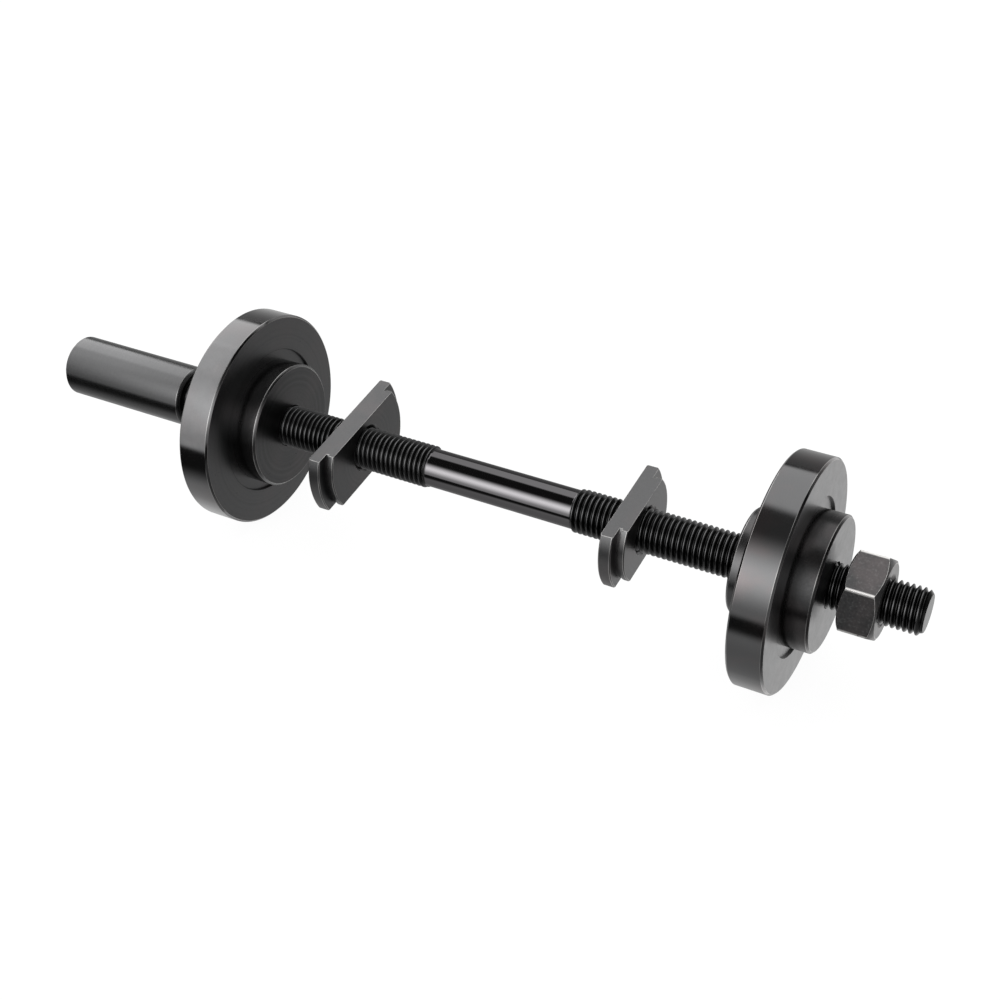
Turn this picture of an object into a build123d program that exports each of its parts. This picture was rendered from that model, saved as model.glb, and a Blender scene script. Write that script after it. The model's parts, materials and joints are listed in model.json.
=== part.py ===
from build123d import *
from math import cos, pi, radians, tan
import os

# Bottom bracket press and bearing remover for bicycles, lying on the rims of its two discs.
# Millimetres, +Z up, rod axis along X with the hex nut at the +X end.
# The origin is below the middle of the tool's length, on the surface that carries the rims.

# Threaded rod: an M10 stud with rolled threads at both ends and a smooth, waisted middle
rod_d = 10.0
thread_pitch = 1.25
thread_length = 78.4
waist_length = 36.4
waist_d = 8.9

# Drive sleeve: a blind, threaded cap over the rod's left end, the stop for the left disc
sleeve_d = 14.9
sleeve_length = 36.0
sleeve_grip = 10.2
sleeve_chamfer = 0.7

# Bearings that the tool fits: their bores, and how much smaller each pilot's radius is
large_bearing_bore = 30.0
large_pilot_clearance = 0.05
small_bearing_bore = 24.0
small_pilot_clearance = 0.25

# Press discs: one two-sided bearing drift, turned from bar, used twice
disc_d = 51.5
disc_thickness = 8.0
disc_chamfer = 0.45
boss_height = 5.5
hub_height = 5.5
pilot_chamfer = 0.5
relief_depth = 0.6
relief_width = 2.6

# Removal inserts: a flanged pilot with two flats, tilted to pass a bearing and then squared up
insert_flats = 14.8
flange_thickness = 2.9
step_thickness = 2.1
flange_overhang = 2.45
insert_chamfer = 0.25
undercut_width = 0.7
undercut_depth = 0.35
flats_lean = 9.5

# Hex nut
nut_sides = 6
nut_flats = 17.0
nut_height = 8.0
nut_face_share = 0.94
nut_chamfer_angle = 30.0
nut_lean = 23.2

# Running fits on the rod: radial clearances
slide_clearance = 0.10
thread_clearance = 0.04

# Places along the rod, as gaps between neighbours
gap_sleeve_to_left_hub = 9.3
gap_left_boss_to_insert = 16.7
gap_insert_to_right_hub = 22.8
gap_right_boss_to_nut = 3.4
nut_to_rod_end = 8.6

# Worked out from the sizes above
thread_depth = 0.6134 * thread_pitch
rod_length = 2 * thread_length + waist_length
rod_r = rod_d / 2
large_pilot_r = large_bearing_bore / 2 - large_pilot_clearance
small_pilot_r = small_bearing_bore / 2 - small_pilot_clearance
disc_bore_r = rod_r + slide_clearance
tapped_r = rod_r + thread_clearance
insert_thickness = flange_thickness + step_thickness

rod_left = sleeve_length - sleeve_grip
rod_right = rod_left + rod_length
left_disc_x = sleeve_length + gap_sleeve_to_left_hub + hub_height
left_insert_x = left_disc_x + disc_thickness + boss_height + gap_left_boss_to_insert
nut_x = rod_right - nut_to_rod_end - nut_height
right_disc_x = nut_x - gap_right_boss_to_nut - boss_height - disc_thickness
right_insert_x = right_disc_x - hub_height - gap_insert_to_right_hub - insert_thickness
rest_height = disc_d / 2
to_frame = Pos(-rod_right / 2, 0, rest_height)


def turned(profile):
    """A solid turned about the rod axis from its (x, radius) corners."""
    return revolve(make_face(Polyline(*profile, close=True)), Axis.X)


def press_rod():
    """Stud with thread blanks at both ends, chamfered tips and a waist between run-outs."""
    waist_r = waist_d / 2
    run_out = rod_r - waist_r
    tip = 1.2 * thread_depth
    waist_start = rod_left + thread_length
    waist_end = waist_start + waist_length
    return turned([
        (rod_left, 0), (rod_left, rod_r - tip), (rod_left + tip, rod_r),
        (waist_start - run_out, rod_r), (waist_start, waist_r),
        (waist_end, waist_r), (waist_end + run_out, rod_r),
        (rod_right - tip, rod_r), (rod_right, rod_r - tip), (rod_right, 0),
    ])


def drive_sleeve():
    """Plain round cap, tapped from its right end down to the rod's tip."""
    outer_r = sleeve_d / 2
    c = sleeve_chamfer
    return turned([
        (0, 0), (0, outer_r - c), (c, outer_r),
        (sleeve_length - c, outer_r), (sleeve_length, outer_r - c),
        (sleeve_length, tapped_r), (rod_left, tapped_r), (rod_left, 0),
    ])


def press_disc(x):
    """Two-sided drift whose hub-side face lies at x: small hub to the left, large boss right."""
    disc_r = disc_d / 2
    c, p = disc_chamfer, pilot_chamfer
    front = x + disc_thickness
    hub_end = x - hub_height
    boss_end = front + boss_height
    hub_r, boss_r = small_pilot_r, large_pilot_r
    relief_r = boss_r + relief_width
    return turned([
        (hub_end, disc_bore_r), (hub_end, hub_r - p), (hub_end + p, hub_r), (x, hub_r),
        (x, disc_r - c), (x + c, disc_r), (front - c, disc_r), (front, disc_r - c),
        (front, relief_r), (front - relief_depth, relief_r), (front - relief_depth, boss_r),
        (boss_end - p, boss_r), (boss_end, boss_r - p), (boss_end, disc_bore_r),
    ])


def removal_insert(x, pilot_r):
    """Tapped plate with its flange at x and its pilot step to the right, milled to two flats."""
    flange_r = pilot_r + flange_overhang
    c = insert_chamfer
    shoulder = x + flange_thickness
    end = x + insert_thickness
    blank = turned([
        (x, tapped_r), (x, flange_r - c), (x + c, flange_r),
        (shoulder - c, flange_r), (shoulder, flange_r - c),
        (shoulder, pilot_r - undercut_depth), (shoulder + undercut_width, pilot_r - undercut_depth),
        (shoulder + undercut_width, pilot_r), (end - c, pilot_r), (end, pilot_r - c),
        (end, tapped_r),
    ])
    slab = Pos(x + insert_thickness / 2, 0, 0) * Box(insert_thickness, 2 * flange_r, insert_flats)
    return blank & (Rot(flats_lean, 0, 0) * slab)


def hex_nut():
    """Hexagon nut chamfered on both faces, tapped through with a countersink at each mouth."""
    corner_r = nut_flats / 2 / cos(pi / nut_sides)
    face_r = nut_face_share * nut_flats / 2
    drop = (corner_r - face_r) * tan(radians(nut_chamfer_angle))
    end = nut_x + nut_height
    blank = turned([
        (nut_x + thread_depth, tapped_r), (nut_x, tapped_r + thread_depth),
        (nut_x, face_r), (nut_x + drop, corner_r), (end - drop, corner_r), (end, face_r),
        (end, tapped_r + thread_depth), (end - thread_depth, tapped_r),
    ])
    hexagon = RegularPolygon(nut_flats / 2, nut_sides, major_radius=False)
    prism = extrude(Plane.YZ.offset(nut_x) * Rot(0, 0, nut_lean) * hexagon, nut_height)
    return blank & prism


pieces = {
    "press_rod": press_rod(),
    "drive_sleeve": drive_sleeve(),
    "left_press_disc": press_disc(left_disc_x),
    "left_removal_insert": removal_insert(left_insert_x, large_pilot_r),
    "right_removal_insert": removal_insert(right_insert_x, small_pilot_r),
    "right_press_disc": press_disc(right_disc_x),
    "hex_nut": hex_nut(),
}

os.makedirs("parts", exist_ok=True)
for name, solid in pieces.items():
    export_step(to_frame * solid, f"parts/{name}.step")
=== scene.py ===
# %% [markdown]
# A bearing press in black oxide steel
#
# This lesson dresses a finished CAD model. The tool is a long stud with a smooth waist, two
# stepped press discs, two removal inserts milled to flats, a drive sleeve and a hex nut. All
# of it is turned steel with a thin black oxide skin, so two things make or break the picture:
# the form of the edges and threads, and what the dark metal mirrors. We start by loading the
# CAD frame. Everything later is placed from what that frame says, so nothing needs fitting.

# %% Load the frame
import json
from math import atan2, ceil, cos, degrees, floor, hypot, pi, radians, sin

import bmesh
import bpy
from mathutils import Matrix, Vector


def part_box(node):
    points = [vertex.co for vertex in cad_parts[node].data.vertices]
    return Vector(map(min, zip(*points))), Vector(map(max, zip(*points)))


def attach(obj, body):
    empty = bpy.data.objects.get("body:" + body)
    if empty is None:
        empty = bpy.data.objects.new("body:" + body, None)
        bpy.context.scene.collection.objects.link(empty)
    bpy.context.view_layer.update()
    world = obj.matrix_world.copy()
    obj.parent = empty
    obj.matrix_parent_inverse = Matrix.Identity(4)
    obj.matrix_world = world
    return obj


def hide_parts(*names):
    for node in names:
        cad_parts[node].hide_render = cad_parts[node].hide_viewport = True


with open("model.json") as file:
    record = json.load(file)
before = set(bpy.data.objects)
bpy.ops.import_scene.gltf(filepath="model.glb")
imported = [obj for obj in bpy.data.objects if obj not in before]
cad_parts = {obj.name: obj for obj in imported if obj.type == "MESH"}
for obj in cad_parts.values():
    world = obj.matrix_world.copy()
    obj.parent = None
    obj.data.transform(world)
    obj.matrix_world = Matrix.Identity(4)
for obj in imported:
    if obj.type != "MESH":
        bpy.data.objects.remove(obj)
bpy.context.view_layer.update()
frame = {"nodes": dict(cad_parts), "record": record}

print("nodes", sorted(frame["nodes"]))

# %% [markdown]
# The camera comes first, because every other choice is judged through it. Its place and its
# angles were found by fitting the outlines of both discs, so they are plain measured values.
# A long lens from close by gives the strong taper that a catalogue picture of a tool has.

# %% Set the camera
MM = 0.001

camera_place = (0.14961, -0.25618, 0.21640)
camera_pitch = radians(56.281)
camera_yaw = radians(28.287)
camera_lens = 55.45
sensor_width = 36.0

camera = bpy.data.objects.new("camera", bpy.data.cameras.new("camera"))
camera.location = camera_place
camera.rotation_euler = (camera_pitch, 0, camera_yaw)
camera.data.lens = camera_lens
camera.data.sensor_width = sensor_width
camera.data.clip_start = 0.01
camera.data.clip_end = 20
bpy.context.scene.collection.objects.link(camera)
bpy.context.scene.camera = camera
print("camera", [round(c, 4) for c in camera.location], "lens", camera_lens)

# %% [markdown]
# Turned parts are easy to read back from their meshes. Every corner of a turned outline is a
# ring of vertices with the same place along the rod and the same radius. We collect those
# pairs once, in millimetres, and the stud's corners come out in order: tip, crest, and the
# shoulders of the waist. The pitch is read from the frame as well: the nut's coupling says
# how far the nut turns for each metre that it travels, and one turn is one pitch.

# %% Read the stud's sizes from the frame
rod_low, rod_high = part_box("press_rod")
axis_z = (rod_low.z + rod_high.z) / 2


def rings(node):
    """The turned corners of a CAD node as (x, radius) pairs in mm, in order along the rod."""
    corners = set()
    for vertex in frame["nodes"][node].data.vertices:
        radius = hypot(vertex.co.y, vertex.co.z - axis_z)
        corners.add((round(vertex.co.x / MM, 2), round(radius / MM, 2)))
    return sorted(corners)


profile = rings("press_rod")
left_tip, right_tip = profile[0], profile[-1]
crest_r = max(radius for x, radius in profile)
crests = [x for x, radius in profile if radius == crest_r]
left_end, right_start = crests[1:3]
waist_start, waist_end = (ring for ring in profile if left_end < ring[0] < right_start)
waist_r = waist_start[1]
coupling = frame["record"]["behaviour"]["couplings"][0]
pitch = 2 * pi / coupling["ratio"] / MM
print("crest radius", crest_r, "waist radius", waist_r, "pitch", round(pitch, 4))

# %% [markdown]
# A screw thread could be faked with bump, but its teeth show in the outline, so it has to be
# real geometry. Cutting it with a boolean would be slow and would leave poor faces. Instead we
# lay a grid of quads along the helix itself. Each row of the grid keeps one radius and climbs
# one pitch a turn, so nine rows for each turn draw the rounded crest of a rolled thread, its
# flanks and its root. The last vertex of a row joins the first of the row one turn further on.
# A row is written as its place within the turn, as a share of the pitch, and its radius in mm.

# %% Lay a grid along the helix
outside_depth_share = 0.6134
thread_depth = outside_depth_share * pitch
root_r = crest_r - thread_depth
crest_drop = 0.015
shoulder_drop = 0.10
root_fillet = 0.07
weld_distance = 0.004 * MM

stud_rows = [
    (-0.14, crest_r - shoulder_drop), (-0.07, crest_r - crest_drop), (0.0, crest_r),
    (0.07, crest_r - crest_drop), (0.14, crest_r - shoulder_drop),
    (0.41, root_r + root_fillet), (0.465, root_r), (0.535, root_r), (0.59, root_r + root_fillet),
]


def helix_grid(mesh, angles, x_from, x_to, rows, radius_at):
    """Adds a thread between two stations; radius_at(x, row radius) shapes its ends."""
    first_turn = floor(x_from / pitch) - 2
    last_turn = ceil(x_to / pitch) + 2
    grid = []
    for turn in range(first_turn, last_turn):
        for phase, row_radius in rows:
            line = []
            for angle in angles:
                x = min(max((turn + phase + angle / (2 * pi)) * pitch, x_from), x_to)
                r = radius_at(x, row_radius)
                place = (x * MM, r * cos(angle) * MM, axis_z + r * sin(angle) * MM)
                line.append(mesh.verts.new(place))
            grid.append(line)
    count = len(angles)
    for low in range(len(grid) - 1 - len(rows)):
        for j in range(count):
            if j + 1 < count:
                next_low, next_high = grid[low][j + 1], grid[low + 1][j + 1]
            else:
                next_low, next_high = grid[low + len(rows)][0], grid[low + 1 + len(rows)][0]
            mesh.faces.new((grid[low][j], next_low, next_high, grid[low + 1][j]))


def weld(mesh):
    """Joins vertices that meet, which also clears the collapsed quads at a thread's ends."""
    bmesh.ops.remove_doubles(mesh, verts=mesh.verts, dist=weld_distance)


print("thread depth", round(thread_depth, 3), "rows in a turn", len(stud_rows))

# %% [markdown]
# At each tip of the stud the thread dies into a chamfer, which is simply a limit on the radius
# near the end. At the waist a rolled thread fades out in well under a turn, so there the radius
# slides quickly towards the waist. One function serves both threads, because it only asks how
# far a vertex is from the tip and from the waist.

# %% Shape the ends of a thread
fade_length = 0.5 * pitch


def eased(share):
    """A smooth step from 0 to 1."""
    share = min(max(share, 0), 1)
    return share * share * (3 - 2 * share)


def stud_thread(tip, waist):
    """The radius rule of a thread that runs from a chamfered tip to the start of the waist."""

    def radius_at(x, row_radius):
        chamfer = tip[1] + abs(x - tip[0])
        fade = eased(abs(x - waist[0]) / fade_length)
        return min(waist_r + (row_radius - waist_r) * fade, chamfer)

    return radius_at


print("a thread fades out over", round(fade_length, 3), "mm")

# %% [markdown]
# Every piece ends in the same steps. Its faces are shaded smooth and only true corners keep a
# sharp edge, so a wall reads as round and its end as crisp. Weighted normals keep a large face
# flat beside its tiny roundings. The piece then rides on a body of the mechanism, and the CAD
# node that it stands for is hidden.

# %% Turn a mesh into a piece
smooth_angle = radians(50)


def finish_piece(mesh, name, body, node):
    """Turns a bmesh into the piece that stands for a CAD node and rides on its body."""
    bmesh.ops.recalc_face_normals(mesh, faces=mesh.faces)
    mesh.normal_update()
    for face in mesh.faces:
        face.smooth = True
    for edge in mesh.edges:
        edge.smooth = edge.calc_face_angle(0) < smooth_angle
    data = bpy.data.meshes.new(name)
    mesh.to_mesh(data)
    mesh.free()
    piece = bpy.data.objects.new(name, data)
    bpy.context.scene.collection.objects.link(piece)
    piece.modifiers.new("true_flats", "WEIGHTED_NORMAL").keep_sharp = True
    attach(piece, body)
    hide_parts(node)
    print(name, "faces", len(data.polygons))


print("corners over", round(degrees(smooth_angle)), "degrees stay sharp")

# %% [markdown]
# The stud is one piece: thread, smooth waist, thread. The waist itself needs only two rings,
# because light does the rest, and one flat face closes each tip.

# %% Build the stud
stud_sides = 72
stud_angles = [2 * pi * j / stud_sides for j in range(stud_sides)]


def ring_of(mesh, x, radius, angles):
    """A ring of vertices about the rod's axis."""
    places = [(x * MM, radius * cos(a) * MM, axis_z + radius * sin(a) * MM) for a in angles]
    return [mesh.verts.new(place) for place in places]


def strip(mesh, ring_a, ring_b):
    """Quads between two rings of as many vertices."""
    for j in range(len(ring_a)):
        k = (j + 1) % len(ring_a)
        mesh.faces.new((ring_a[j], ring_a[k], ring_b[k], ring_b[j]))


stud_mesh = bmesh.new()
helix_grid(stud_mesh, stud_angles, left_tip[0], waist_start[0], stud_rows,
           stud_thread(left_tip, waist_start))
helix_grid(stud_mesh, stud_angles, waist_end[0], right_tip[0], stud_rows,
           stud_thread(right_tip, waist_end))
waist_rings = [ring_of(stud_mesh, x, waist_r, stud_angles) for x in (waist_start[0], waist_end[0])]
strip(stud_mesh, waist_rings[0], waist_rings[1])
for tip in (left_tip, right_tip):
    stud_mesh.faces.new(ring_of(stud_mesh, tip[0], tip[1], stud_angles))
weld(stud_mesh)
finish_piece(stud_mesh, "threaded_stud", "rod", "press_rod")

# %% [markdown]
# The other pieces already have the right form in CAD, down to their chamfers. What they lack
# is the tiny rounding that every real edge has, and which catches the light as a thin line.
# A bevel modifier on the CAD mesh would stumble over its loose triangles, so we copy the mesh,
# weld it, merge its flat triangles back into whole faces, and bevel the sharp outer edges. The
# new edge faces are remembered in an attribute, because the oxide wears off them first. The
# rim of the shallow relief in a disc's face is out of reach, so it isn't worn. Its radius is
# one of the corners of a disc's outline, which disc_radii lists from the bore to the rim.

# %% Copy a CAD solid and soften its edges
flat_within = radians(0.3)
sharp_from = radians(12)
touch = 0.002 * MM
edge_rounding = 0.07


def radius_of(vertex):
    """The distance of a vertex from the rod's axis in mm."""
    return hypot(vertex.co.y, vertex.co.z - axis_z) / MM


def soft_copy(node):
    """The welded mesh of a CAD node, with its flat faces whole."""
    mesh = bmesh.new()
    mesh.from_mesh(frame["nodes"][node].data)
    bmesh.ops.remove_doubles(mesh, verts=mesh.verts, dist=touch)
    bmesh.ops.dissolve_limit(mesh, angle_limit=flat_within, verts=[], edges=mesh.edges)
    return mesh


def soften(mesh, width, crisp_r=0.0):
    """Rounds each sharp outer edge, and marks what this made unless it lies at crisp_r."""
    worn = mesh.faces.layers.float.new("worn_edge")
    edges = []
    for edge in mesh.edges:
        if edge.is_manifold and edge.is_convex and edge.calc_face_angle() > sharp_from:
            edges.append(edge)
    made = bmesh.ops.bevel(mesh, geom=edges, offset=width * MM, offset_type="OFFSET", segments=2,
                           profile=0.5, affect="EDGES", clamp_overlap=True)
    for face in made["faces"]:
        crisp = all(abs(radius_of(v) - crisp_r) < 2 * width for v in face.verts)
        face[worn] = 0.0 if crisp else 1.0
    return len(edges)


disc_radii = sorted({radius for x, radius in rings("left_press_disc")})
relief_r = disc_radii[-3]
for body, node in (("left_disc", "left_press_disc"), ("right_disc", "right_press_disc")):
    disc_mesh = soft_copy(node)
    print(node, "softened edges", soften(disc_mesh, edge_rounding, relief_r))
    finish_piece(disc_mesh, f"{body}_turned", body, node)

# %% [markdown]
# The nut, the inserts and the sleeve have tapped holes. Their CAD bores are plain, so we open
# the copy there and widen each mouth's own ring of vertices to a countersink. The new thread
# has to meet those same vertices, so we read the angles at which they stand.

# %% Open a plain bore
tapped_r = min(radius for x, radius in rings("hex_nut"))
mouth_r = tapped_r + thread_depth
slack = 0.01


def open_bore(mesh):
    """Removes the plain bore, widens what it leaves open and returns the bore's two ends."""
    bore = [f for f in mesh.faces if all(radius_of(v) < mouth_r + slack for v in f.verts)]
    stations = [v.co.x / MM for f in bore for v in f.verts]
    bmesh.ops.delete(mesh, geom=bore, context="FACES")
    for vertex in mesh.verts:
        if vertex.is_boundary:
            share = mouth_r / radius_of(vertex)
            vertex.co.y = vertex.co.y * share
            vertex.co.z = axis_z + (vertex.co.z - axis_z) * share
    return min(stations), max(stations)


def mouth_angles(mesh):
    """The angles about the axis of the open ring at the right mouth, in order."""
    right_mouth = max(v.co.x for v in mesh.verts if v.is_boundary)
    ring = [v for v in mesh.verts if v.is_boundary and right_mouth - v.co.x < touch]
    return sorted(atan2(v.co.z - axis_z, v.co.y) % (2 * pi) for v in ring)


print("bore radius", tapped_r, "countersink radius", round(mouth_r, 3))

# %% [markdown]
# An inside thread is then laid between the mouths with the same helix as the stud. Because both
# threads share one origin, they mesh with a small clearance, and they still mesh when the nut
# turns. The countersink is a limit on the radius, which cuts the first thread away as a drill
# would. An inside thread is a little shallower than an outside one, so it has its own rows. The
# nut's edges are rounded further than the others, as years under a wrench leave them.

# %% Cut the inside threads
inside_depth_share = 0.5413
minor_r = crest_r - inside_depth_share * pitch
nut_rounding = 0.32

hole_rows = [
    (-0.10, tapped_r), (0.0, tapped_r), (0.10, tapped_r),
    (0.43, minor_r), (0.50, minor_r), (0.57, minor_r),
]


def tap(mesh, angles, x_from, x_to, blind):
    """Lays the inside thread; a blind hole runs out to a plain end instead of a mouth."""

    def hole(x, row_radius):
        right_sink = mouth_r - (x_to - x)
        left_sink = mouth_r - (x - x_from)
        if blind:
            started = minor_r + (row_radius - minor_r) * eased((x - x_from) / pitch)
            return max(started, right_sink)
        return max(row_radius, right_sink, left_sink)

    helix_grid(mesh, angles, x_from, x_to, hole_rows, hole)
    if blind:
        mesh.faces.new(ring_of(mesh, x_from, minor_r, angles))
    weld(mesh)


def tapped_piece(node, body, name, width, blind=False):
    """A softened copy of a CAD node with a real thread in its hole."""
    mesh = soft_copy(node)
    x_from, x_to = open_bore(mesh)
    angles = mouth_angles(mesh)
    soften(mesh, width)
    tap(mesh, angles, x_from, x_to, blind)
    print(name, "hole from", round(x_from, 2), "to", round(x_to, 2), "sides", len(angles))
    finish_piece(mesh, name, body, node)


tapped_piece("drive_sleeve", "rod",
             "drive_sleeve_tapped", edge_rounding, blind=True)
for side in ("left", "right"):
    tapped_piece(f"{side}_removal_insert", f"{side}_insert",
                 f"{side}_insert_milled", edge_rounding)
tapped_piece("hex_nut", "nut", "hex_nut_tapped", nut_rounding)

# %% [markdown]
# Materials and lights are both node trees, and a node tree is easiest to read as arithmetic.
# This small class wraps one socket. Python's operators on it add Math nodes, so a mask is
# written as 1 - rim rather than as five lines of wiring, and node() adds anything else.

# %% A socket that does arithmetic
class Wire:
    """One output socket; operators on it add Math nodes, and node() adds any other node."""

    def __init__(self, tree, socket=None):
        self.tree = tree
        self.socket = socket

    def node(self, kind, settings, inputs, output=0):
        """Adds a node: settings first, then each input's value or wire. Returns one output."""
        made = self.tree.nodes.new(kind)
        for name, value in settings.items():
            setattr(made, name, value)
        for name, value in inputs.items():
            if isinstance(value, Wire):
                self.tree.links.new(value.socket, made.inputs[name])
            else:
                made.inputs[name].default_value = value
        return Wire(self.tree, made.outputs[output]) if made.outputs else None

    def maths(self, operation, *values):
        """Adds a Math node on the values, which are wires or numbers."""
        return self.node("ShaderNodeMath", {"operation": operation}, dict(enumerate(values)))

    def __add__(self, other):
        return self.maths("ADD", self, other)

    def __radd__(self, other):
        return self.maths("ADD", other, self)

    def __sub__(self, other):
        return self.maths("SUBTRACT", self, other)

    def __rsub__(self, other):
        return self.maths("SUBTRACT", other, self)

    def __mul__(self, other):
        return self.maths("MULTIPLY", self, other)

    def __rmul__(self, other):
        return self.maths("MULTIPLY", other, self)

    def rise(self, low, high):
        """0 below low, 1 above high, and a smooth step between them."""
        return self.node("ShaderNodeMapRange", {"interpolation_type": "SMOOTHSTEP"},
                         {"Value": self, "From Min": low, "From Max": high})

    def fall(self, low, high):
        """1 below low, 0 above high, and a smooth step between them."""
        return 1 - self.rise(low, high)

    def parts(self):
        """The three parts of a vector."""
        split = self.node("ShaderNodeSeparateXYZ", {}, {"Vector": self})
        return [Wire(self.tree, out) for out in split.socket.node.outputs]

    def tint(self, first, second):
        """A colour between first and second, with this wire as the share of the second."""
        start = first if isinstance(first, Wire) else (*first, 1)
        ends = {0: self, 6: start, 7: (*second, 1)}
        return self.node("ShaderNodeMix", {"data_type": "RGBA"}, ends, output=2)


print("operators on a wire add Math nodes")

# %% [markdown]
# Polished dark metal shows its surroundings and hardly any colour of its own, so the lights
# are drawn before the metal. A small product is usually shot in a white tent: a bright floor
# all round, one large softbox in front and above, one behind, and black cards between them
# that give the metal its dark lines. For a rod lying along X, what its surface mirrors depends
# mostly on one angle, measured round the rod from straight up towards the camera, and a little
# on how far along the rod the mirrored direction points. So the whole tent is a world shader
# in those two values, which is a plain way to place soft panels exactly. Below, around is the
# angle in degrees, and along runs from -1 at the sleeve's end to 1 at the nut's end. Each panel
# is a rise and a fall in these two, times its brightness.

# %% Place the softboxes
world = bpy.data.worlds.new("light_tent")
bpy.context.scene.world = world
world.use_nodes = True
world.node_tree.nodes.clear()
sky = Wire(world.node_tree)
along, depth, height = sky.node("ShaderNodeTexCoord", {}, {}, output="Generated").parts()
around = sky.maths("ARCTAN2", depth * -1, height) * degrees(1)
left = along.fall(-0.565, -0.50)
far_left = along.fall(-0.58, -0.34)
outer_left = along.fall(-0.605, -0.577)
middle = along.rise(-0.50, -0.42) * along.fall(-0.34, -0.24)
right = along.rise(-0.34, -0.24)

rear_level = 2.5 - middle * 0.15 + right * 0.6 + left * 2.4 + outer_left * 1.7
rear_level = rear_level - far_left * (1 - left) * 0.8
rear_start = outer_left * -14 - 57
rear_end = sky.maths("MAXIMUM", along + 0.22, -0.2) * 50 - 1
rear_box = around.rise(rear_start, rear_start + 5) * around.fall(rear_end - 4, rear_end + 5)
rear_box = rear_box * rear_level * along.fall(0.40, 0.60)
left_box = around.rise(-16, -6) * around.fall(14, 74) * left * (4.9 - outer_left * 0.5)
front_start = middle * 10 + 24
front_end = left * 2 + 103
front_box = around.rise(front_start, front_start * 0.5 + 52)
front_box = front_box * around.fall(front_end, front_end + 7)
front_box = front_box * (1 - around.rise(66, 100) * (0.75 - left * 0.35))
front_level = 4.9 + middle * 3.9 + left * 0.5 - outer_left * 2.7
front_box = front_box * front_level * along.rise(-0.68, -0.58)
right_fill = around.rise(-6, 4) * around.fall(25, 45) * right * 0.22
print("softboxes placed, world nodes", len(world.node_tree.nodes))

# %% [markdown]
# The tent's floor is mirrored low on every round surface. It starts at a black card in front,
# whose edge gives the sharp dark line above each bright belly, and fades upwards at the back.
# Past the tool's right end the back of the tent is dimmer, which keeps the disc faces grey.
# The camera itself sees plain white instead of the tent, like a cut-out on a white page.

# %% Draw the tent's floor and join the panels
glow_inside = 0.06
left_end_level = 0.8
tent_gain = 0.8
card_edge = far_left * 20 + outer_left * 14 + 124
card_soft = far_left * 9 + outer_left * 7 + 5
front_floor = around.rise(card_edge - card_soft, card_edge + card_soft)
near_card = around.fall(card_edge, card_edge + 22) * (1 - far_left) * 0.25
front_floor = front_floor * (near_card + left * 0.4 - outer_left * 0.4 + 0.92)
behind = along.rise(-0.05, 0.12)
back_level = 1.05 - around.rise(-168, -132) * 0.52 + around.rise(-116, -100) * 0.1
back_level = back_level - around.rise(-92, -60) * 0.2 + behind * 1.2
back_floor = around.fall(-60, -56) * back_level * (left * 0.4 - outer_left * 0.35 + 1)
floor_part = (front_floor + back_floor) * (1 - along.rise(0.26, 0.54) * 0.70)

tent = rear_box + left_box + front_box + right_fill + floor_part + glow_inside
left_end = along.fall(-0.94, -0.76)
right_end = along.rise(0.76, 0.94)
tent = tent * (1 - left_end) * (1 - right_end) + left_end * left_end_level
tent = tent + right_end * (around.rise(10, 70) * 0.7 + 0.25)

seen = sky.node("ShaderNodeLightPath", {}, {}, output="Is Camera Ray")
strength = tent * (1 - seen) * tent_gain + seen
background = sky.node("ShaderNodeBackground", {}, {"Color": (1, 1, 1, 1), "Strength": strength})
sky.node("ShaderNodeOutputWorld", {}, {"Surface": background})
bpy.context.scene.view_settings.view_transform = "Standard"
print("world nodes", len(world.node_tree.nodes))

# %% [markdown]
# The floor that we see is a plain pale sheet. It is lit by the tent, but mirrors and shadows
# ignore it, so the metal mirrors the tent's own floor and light can bounce up under the tool.

# %% Lay the floor
floor_reach = 4
paper_grey = 0.05
paper_glow = 0.95

floor_mesh = bmesh.new()
bmesh.ops.create_grid(floor_mesh, x_segments=1, y_segments=1, size=floor_reach)
floor_data = bpy.data.meshes.new("floor")
floor_mesh.to_mesh(floor_data)
floor_mesh.free()
paper = bpy.data.objects.new("floor", floor_data)
bpy.context.scene.collection.objects.link(paper)
paper.visible_glossy = False
paper.visible_shadow = False

paper_finish = bpy.data.materials.new("white_paper")
paper_finish.use_nodes = True
paper_finish.node_tree.nodes.clear()
sheet = Wire(paper_finish.node_tree)
matt = sheet.node("ShaderNodeBsdfDiffuse", {}, {"Color": (paper_grey, paper_grey, paper_grey, 1)})
glow = sheet.node("ShaderNodeEmission", {}, {"Color": (1, 1, 1, 1), "Strength": paper_glow})
lit = sheet.node("ShaderNodeAddShader", {}, {0: matt, 1: glow})
sheet.node("ShaderNodeOutputMaterial", {}, {"Surface": lit})
floor_data.materials.append(paper_finish)
print("floor laid at z = 0")

# %% [markdown]
# The finish of a turned piece changes with the place on it, so each material first asks where
# it is: how far along the rod, how far from the axis, and whether the surface is a turned face
# or a cylinder. It starts to count as a face where its normal leans along the rod by face_from.
# The worn edges need no such sum, because their mask was stored with the roundings.

# %% Find places on a turned piece
to_mm = 1000
face_from = 0.75
face_fully = 0.85


def normal_x(wire):
    """How much the surface looks along the rod: 1 to the nut's end, -1 to the sleeve's end."""
    return wire.node("ShaderNodeTexCoord", {}, {}, output="Normal").parts()[0]


def turned_place(wire):
    """Distance along the rod and from its axis in mm, and 1 on faces that look along it."""
    x, y, z = wire.node("ShaderNodeTexCoord", {}, {}, output="Object").parts()
    y_mm = y * to_mm
    z_mm = (z - axis_z) * to_mm
    radius = wire.maths("SQRT", y_mm * y_mm + z_mm * z_mm)
    facing = wire.maths("ABSOLUTE", normal_x(wire)).rise(face_from, face_fully)
    return x * to_mm, radius, facing


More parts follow.
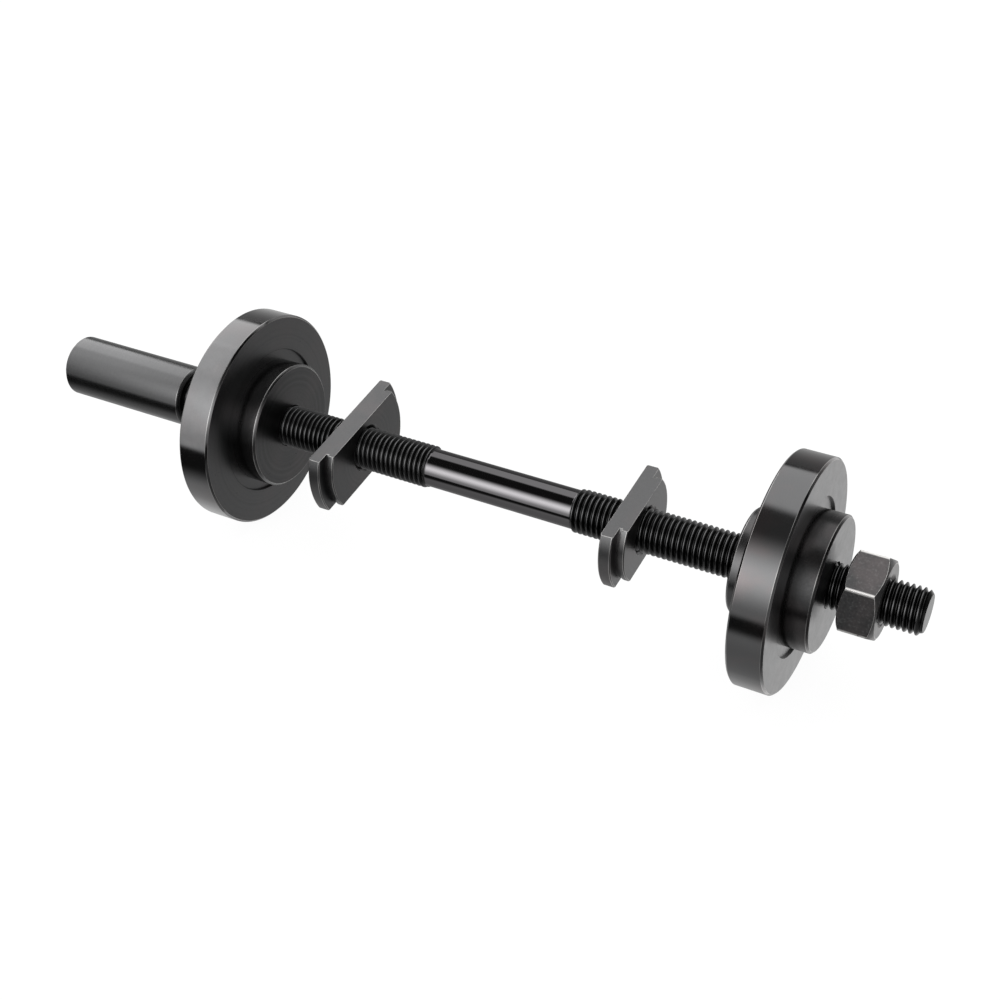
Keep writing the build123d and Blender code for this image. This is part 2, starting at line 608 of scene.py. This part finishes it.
def along_outline(x, radius, facing):
    """Distance in mm along a turned outline: along the rod on walls, from its axis on faces."""
    return x * (1 - facing) + radius * facing


def worn_edges(wire):
    """1 on the roundings that were marked as worn when the edges were softened."""
    return wire.node("ShaderNodeAttribute", {"attribute_name": "worn_edge"}, {}, output="Fac")


print("a face looks along the rod by", face_from, "to", face_fully)

# %% [markdown]
# Black oxide is a skin only a micrometre thick, so it keeps every tool mark of the steel under
# it. It mirrors a small, nearly colourless share of the light face on and more at a grazing
# angle. A metal shader with a very dark base does exactly that. The sandy grain of the skin is
# noise in three dimensions, and turning lines are noise along one distance only.

# %% Mix the black oxide
oxide = (0.079, 0.079, 0.080)
oxide_brown = (0.098, 0.084, 0.084)
oxide_violet = (0.110, 0.096, 0.106)
bare_steel = (0.52, 0.51, 0.50)
black = (0.0, 0.0, 0.0)


def new_finish(name):
    """An empty material and a wire to build it with."""
    finish = bpy.data.materials.new(name)
    finish.use_nodes = True
    finish.node_tree.nodes.clear()
    return finish, Wire(finish.node_tree)


def grain(wire, size, detail=2.0):
    """Noise in three dimensions with spots of about this size in mm, from 0 to 1."""
    place = wire.node("ShaderNodeTexCoord", {}, {}, output="Object")
    return wire.node("ShaderNodeTexNoise", {},
                     {"Vector": place, "Scale": to_mm / size, "Detail": detail})


def turning_lines(wire, distance, width):
    """Noise along one distance, so that it draws lines of about this width in mm across it."""
    return wire.node("ShaderNodeTexNoise", {"noise_dimensions": "1D"},
                     {"W": distance, "Scale": 1 / width, "Detail": 3.0})


def metal(wire, colour, roughness, height, relief, grazing):
    """The metal shader, bumped by relief mm; grazing darkens what it mirrors at a flat angle."""
    bump = wire.node("ShaderNodeBump", {},
                     {"Strength": 1.0, "Distance": relief * MM, "Height": height})
    surface = wire.node("ShaderNodeBsdfPrincipled", {}, {
        "Base Color": colour, "Metallic": 1.0, "Roughness": roughness, "Normal": bump,
        "Specular Tint": (grazing, grazing, grazing, 1)})
    wire.node("ShaderNodeOutputMaterial", {}, {"Surface": surface})


print("oxide", oxide, "bare steel", bare_steel)

# %% [markdown]
# The discs have two finishes. Their rims were ground, so they mirror the softboxes with sharp
# borders under a fine sandy grain. The faces, bosses and hubs are as the lathe left them:
# satin, darker, with faint circles. A mask from the radius switches between the two. Painted
# shade darkens the walls of bosses and hubs beside each disc's face, most on the right disc's
# boss, and paints a thin dark line where the face's relief steps down. No two pieces come out
# of an oxide bath alike: here the right disc has a browner rim than the left one. Masks from
# the place along the rod pick out that rim and the right boss's deeper painted shade.

# %% Finish the discs
rim_r = disc_radii[-1]
boss_face_r = disc_radii[-5]
right_face_x = max(x for x, radius in rings("right_press_disc") if radius > relief_r)
print("rim radius", rim_r, "boss face radius", boss_face_r, "right face at", right_face_x)

disc_finish, wire = new_finish("ground_and_turned_oxide")
x, radius, facing = turned_place(wire)
right_half = x.rise(0, 20)
# painted shade: the right disc's boss wall is made darker still
right_boss_shade = x.rise(right_face_x - 4, right_face_x)
boss_side = normal_x(wire).rise(face_from, face_fully)
boss_face = boss_side * radius.fall(boss_face_r - 0.25, boss_face_r + 0.05)
# painted shade: a thin dark line at the relief's rim, where its step lies in shade
relief_shade_line = radius.rise(relief_r - 0.25, relief_r - 0.12)
relief_shade_line = relief_shade_line * radius.fall(relief_r + 0.08, relief_r + 0.2) * boss_side
rim = radius.rise(rim_r - 0.75, rim_r - 0.35) * (1 - facing)
# painted shade: boss and hub walls are darker beside the disc face that shades them
shaded_boss_wall = (1 - rim) * (1 - facing)
sand = grain(wire, 0.35)
clouds = grain(wire, 2.2)
patches = grain(wire, 9, 3.0)
lines = turning_lines(wire, along_outline(x, radius, facing), 0.8)
level = 0.86 + rim * 0.24 + sand * 0.24 + (lines - 0.5) * facing * 0.35
# painted shade on the walls of bosses and hubs, deepest on the right boss
level = level - shaded_boss_wall * (0.25 + right_boss_shade * 0.4) - boss_face * 0.25
# painted shade along the relief's rim
level = level + (clouds - 0.5) * rim * 0.55 - relief_shade_line * 0.6
colour = level.tint(black, oxide)
brown = patches.rise(0.42, 0.68) * (0.2 + rim * right_half * 0.4)
colour = brown.tint(colour, oxide_brown)
colour = (worn_edges(wire) * patches.rise(0.3, 0.55) * 0.28).tint(colour, bare_steel)
roughness = 0.30 - rim * 0.19 - shaded_boss_wall * 0.05 + (sand - 0.5) * 0.06 + (clouds - 0.5) * 0.08
metal(wire, colour, roughness, sand * 0.5 + lines * 0.7, relief=0.0011, grazing=0.9)
print("disc nodes", len(disc_finish.node_tree.nodes))

# %% [markdown]
# The sleeve was only turned and never ground. Its satin skin blurs the softboxes into one long
# gradient from grey to black, and it mirrors less at a flat angle than a polished rim does.

# %% Finish the drive sleeve
sleeve_finish, wire = new_finish("satin_turned_oxide")
x, radius, facing = turned_place(wire)
sand = grain(wire, 0.4)
patches = grain(wire, 12, 3.0)
lines = turning_lines(wire, along_outline(x, radius, facing), 0.45)
colour = (0.68 + sand * 0.2 + (lines - 0.5) * 0.12).tint(black, oxide)
colour = (worn_edges(wire) * patches.rise(0.35, 0.6) * 0.2).tint(colour, bare_steel)
roughness = 0.22 + (sand - 0.5) * 0.05 + (patches - 0.5) * 0.06
metal(wire, colour, roughness, sand * 0.4 + lines * 0.6, relief=0.0012, grazing=0.7)
print("sleeve nodes", len(sleeve_finish.node_tree.nodes))

# %% [markdown]
# The inserts were turned and then milled to two flats. The flats carry a fine, even grain and
# look lighter than the rest, the rims stay smooth, and the corners between them are rubbed.
# The left insert is painted a shade darker than the right one, as shade from light that falls from
# the right.

# %% Finish the inserts
insert_finish, wire = new_finish("milled_oxide")
x, radius, facing = turned_place(wire)
# painted shade: the left insert is darker, as the light falls from the right
left_insert_shade = x.fall(0, 20)
sand = grain(wire, 0.3)
patches = grain(wire, 7, 3.0)
lines = turning_lines(wire, along_outline(x, radius, facing), 0.6)
level = 0.78 - left_insert_shade * 0.06 + sand * 0.3 + (lines - 0.5) * facing * 0.3
colour = level.tint(black, oxide)
colour = (patches.rise(0.4, 0.7) * 0.3).tint(colour, oxide_brown)
colour = (worn_edges(wire) * patches.rise(0.25, 0.5) * 0.5).tint(colour, bare_steel)
roughness = 0.33 + (sand - 0.5) * 0.08 + (patches - 0.5) * 0.06
metal(wire, colour, roughness, sand * 0.8 + lines * facing * 0.5, relief=0.0016, grazing=0.8)
print("insert nodes", len(insert_finish.node_tree.nodes))

# %% [markdown]
# A nut is a bought part with a thicker, browner skin, and a wrench has rubbed its corners down
# to bare steel. The wear follows the rounded edges with a broken outline, and a little of it
# spreads over the end faces.

# %% Finish the nut
nut_corner_r = max(radius for x, radius in rings("hex_nut"))
nut_finish, wire = new_finish("brown_oxide_worn_edges")
radius, facing = turned_place(wire)[1:]
sand = grain(wire, 0.5)
patches = grain(wire, 6, 3.0)
worn = worn_edges(wire)
corner = radius.rise(nut_corner_r - 0.26, nut_corner_r - 0.08) * (1 - facing)
edges = wire.maths("MAXIMUM", worn, corner) * grain(wire, 1.2).rise(0.25, 0.45) * 0.9
specks = sand.rise(0.56, 0.70) * 0.04
bare = edges + facing * patches.rise(0.4, 0.8) * 0.12 + specks
colour = (0.38 + facing * 0.52 + sand * 0.5).tint(black, oxide)
colour = (patches.rise(0.38, 0.66) * 0.4).tint(colour, oxide_brown)
colour = bare.tint(colour, bare_steel)
roughness = 0.36 + (sand - 0.5) * 0.10 - worn * 0.04
metal(wire, colour, roughness, sand * 0.8 + patches * 0.6, relief=0.004, grazing=0.9)
print("nut nodes", len(nut_finish.node_tree.nodes))

# %% [markdown]
# The stud has a blacker thread, with painted shade deepest in its valleys, and a waist that is
# polished enough to mirror the front softbox as one bright line. Two masks do this: one along the
# rod for the waist, one by radius that paints the valleys darker than the crests.

# %% Finish the stud
stud_finish, wire = new_finish("drawn_oxide")
x, radius, facing = turned_place(wire)
waist = x.rise(waist_start[0] - 0.5, waist_start[0] + 0.1)
waist = waist * x.fall(waist_end[0] - 0.1, waist_end[0] + 0.5)
# painted shade: the thread's valleys are darker than its crests
unshaded_crest = radius.rise(crest_r - 0.22, crest_r - 0.02)
tip_face = facing * wire.maths("ABSOLUTE", x).rise(right_tip[0] - 0.4, right_tip[0] - 0.1)
sand = grain(wire, 0.3)
streaks = turning_lines(wire, x, 2.2)
level = 0.24 + unshaded_crest * 0.44 + waist * 0.90 - tip_face * 0.06 + sand * 0.1
colour = (waist * 0.2).tint(level.tint(black, oxide), oxide_violet)
roughness = 0.24 - waist * 0.16 + (sand - 0.5) * 0.04 + (streaks - 0.5) * 0.03
metal(wire, colour, roughness, sand * 0.5 + streaks * 0.2, relief=0.0006, grazing=0.62)
print("stud nodes", len(stud_finish.node_tree.nodes))

# %% [markdown]
# Each finish is now laid on its pieces. Both discs share one material, and so do both inserts.

# %% Give each piece its finish
finishes = {
    "left_disc_turned": disc_finish, "right_disc_turned": disc_finish,
    "drive_sleeve_tapped": sleeve_finish, "hex_nut_tapped": nut_finish,
    "left_insert_milled": insert_finish, "right_insert_milled": insert_finish,
    "threaded_stud": stud_finish,
}
for piece_name, finish in finishes.items():
    slots = bpy.data.objects[piece_name].data.materials
    slots.clear()
    slots.append(finish)
print("pieces finished", len(finishes))
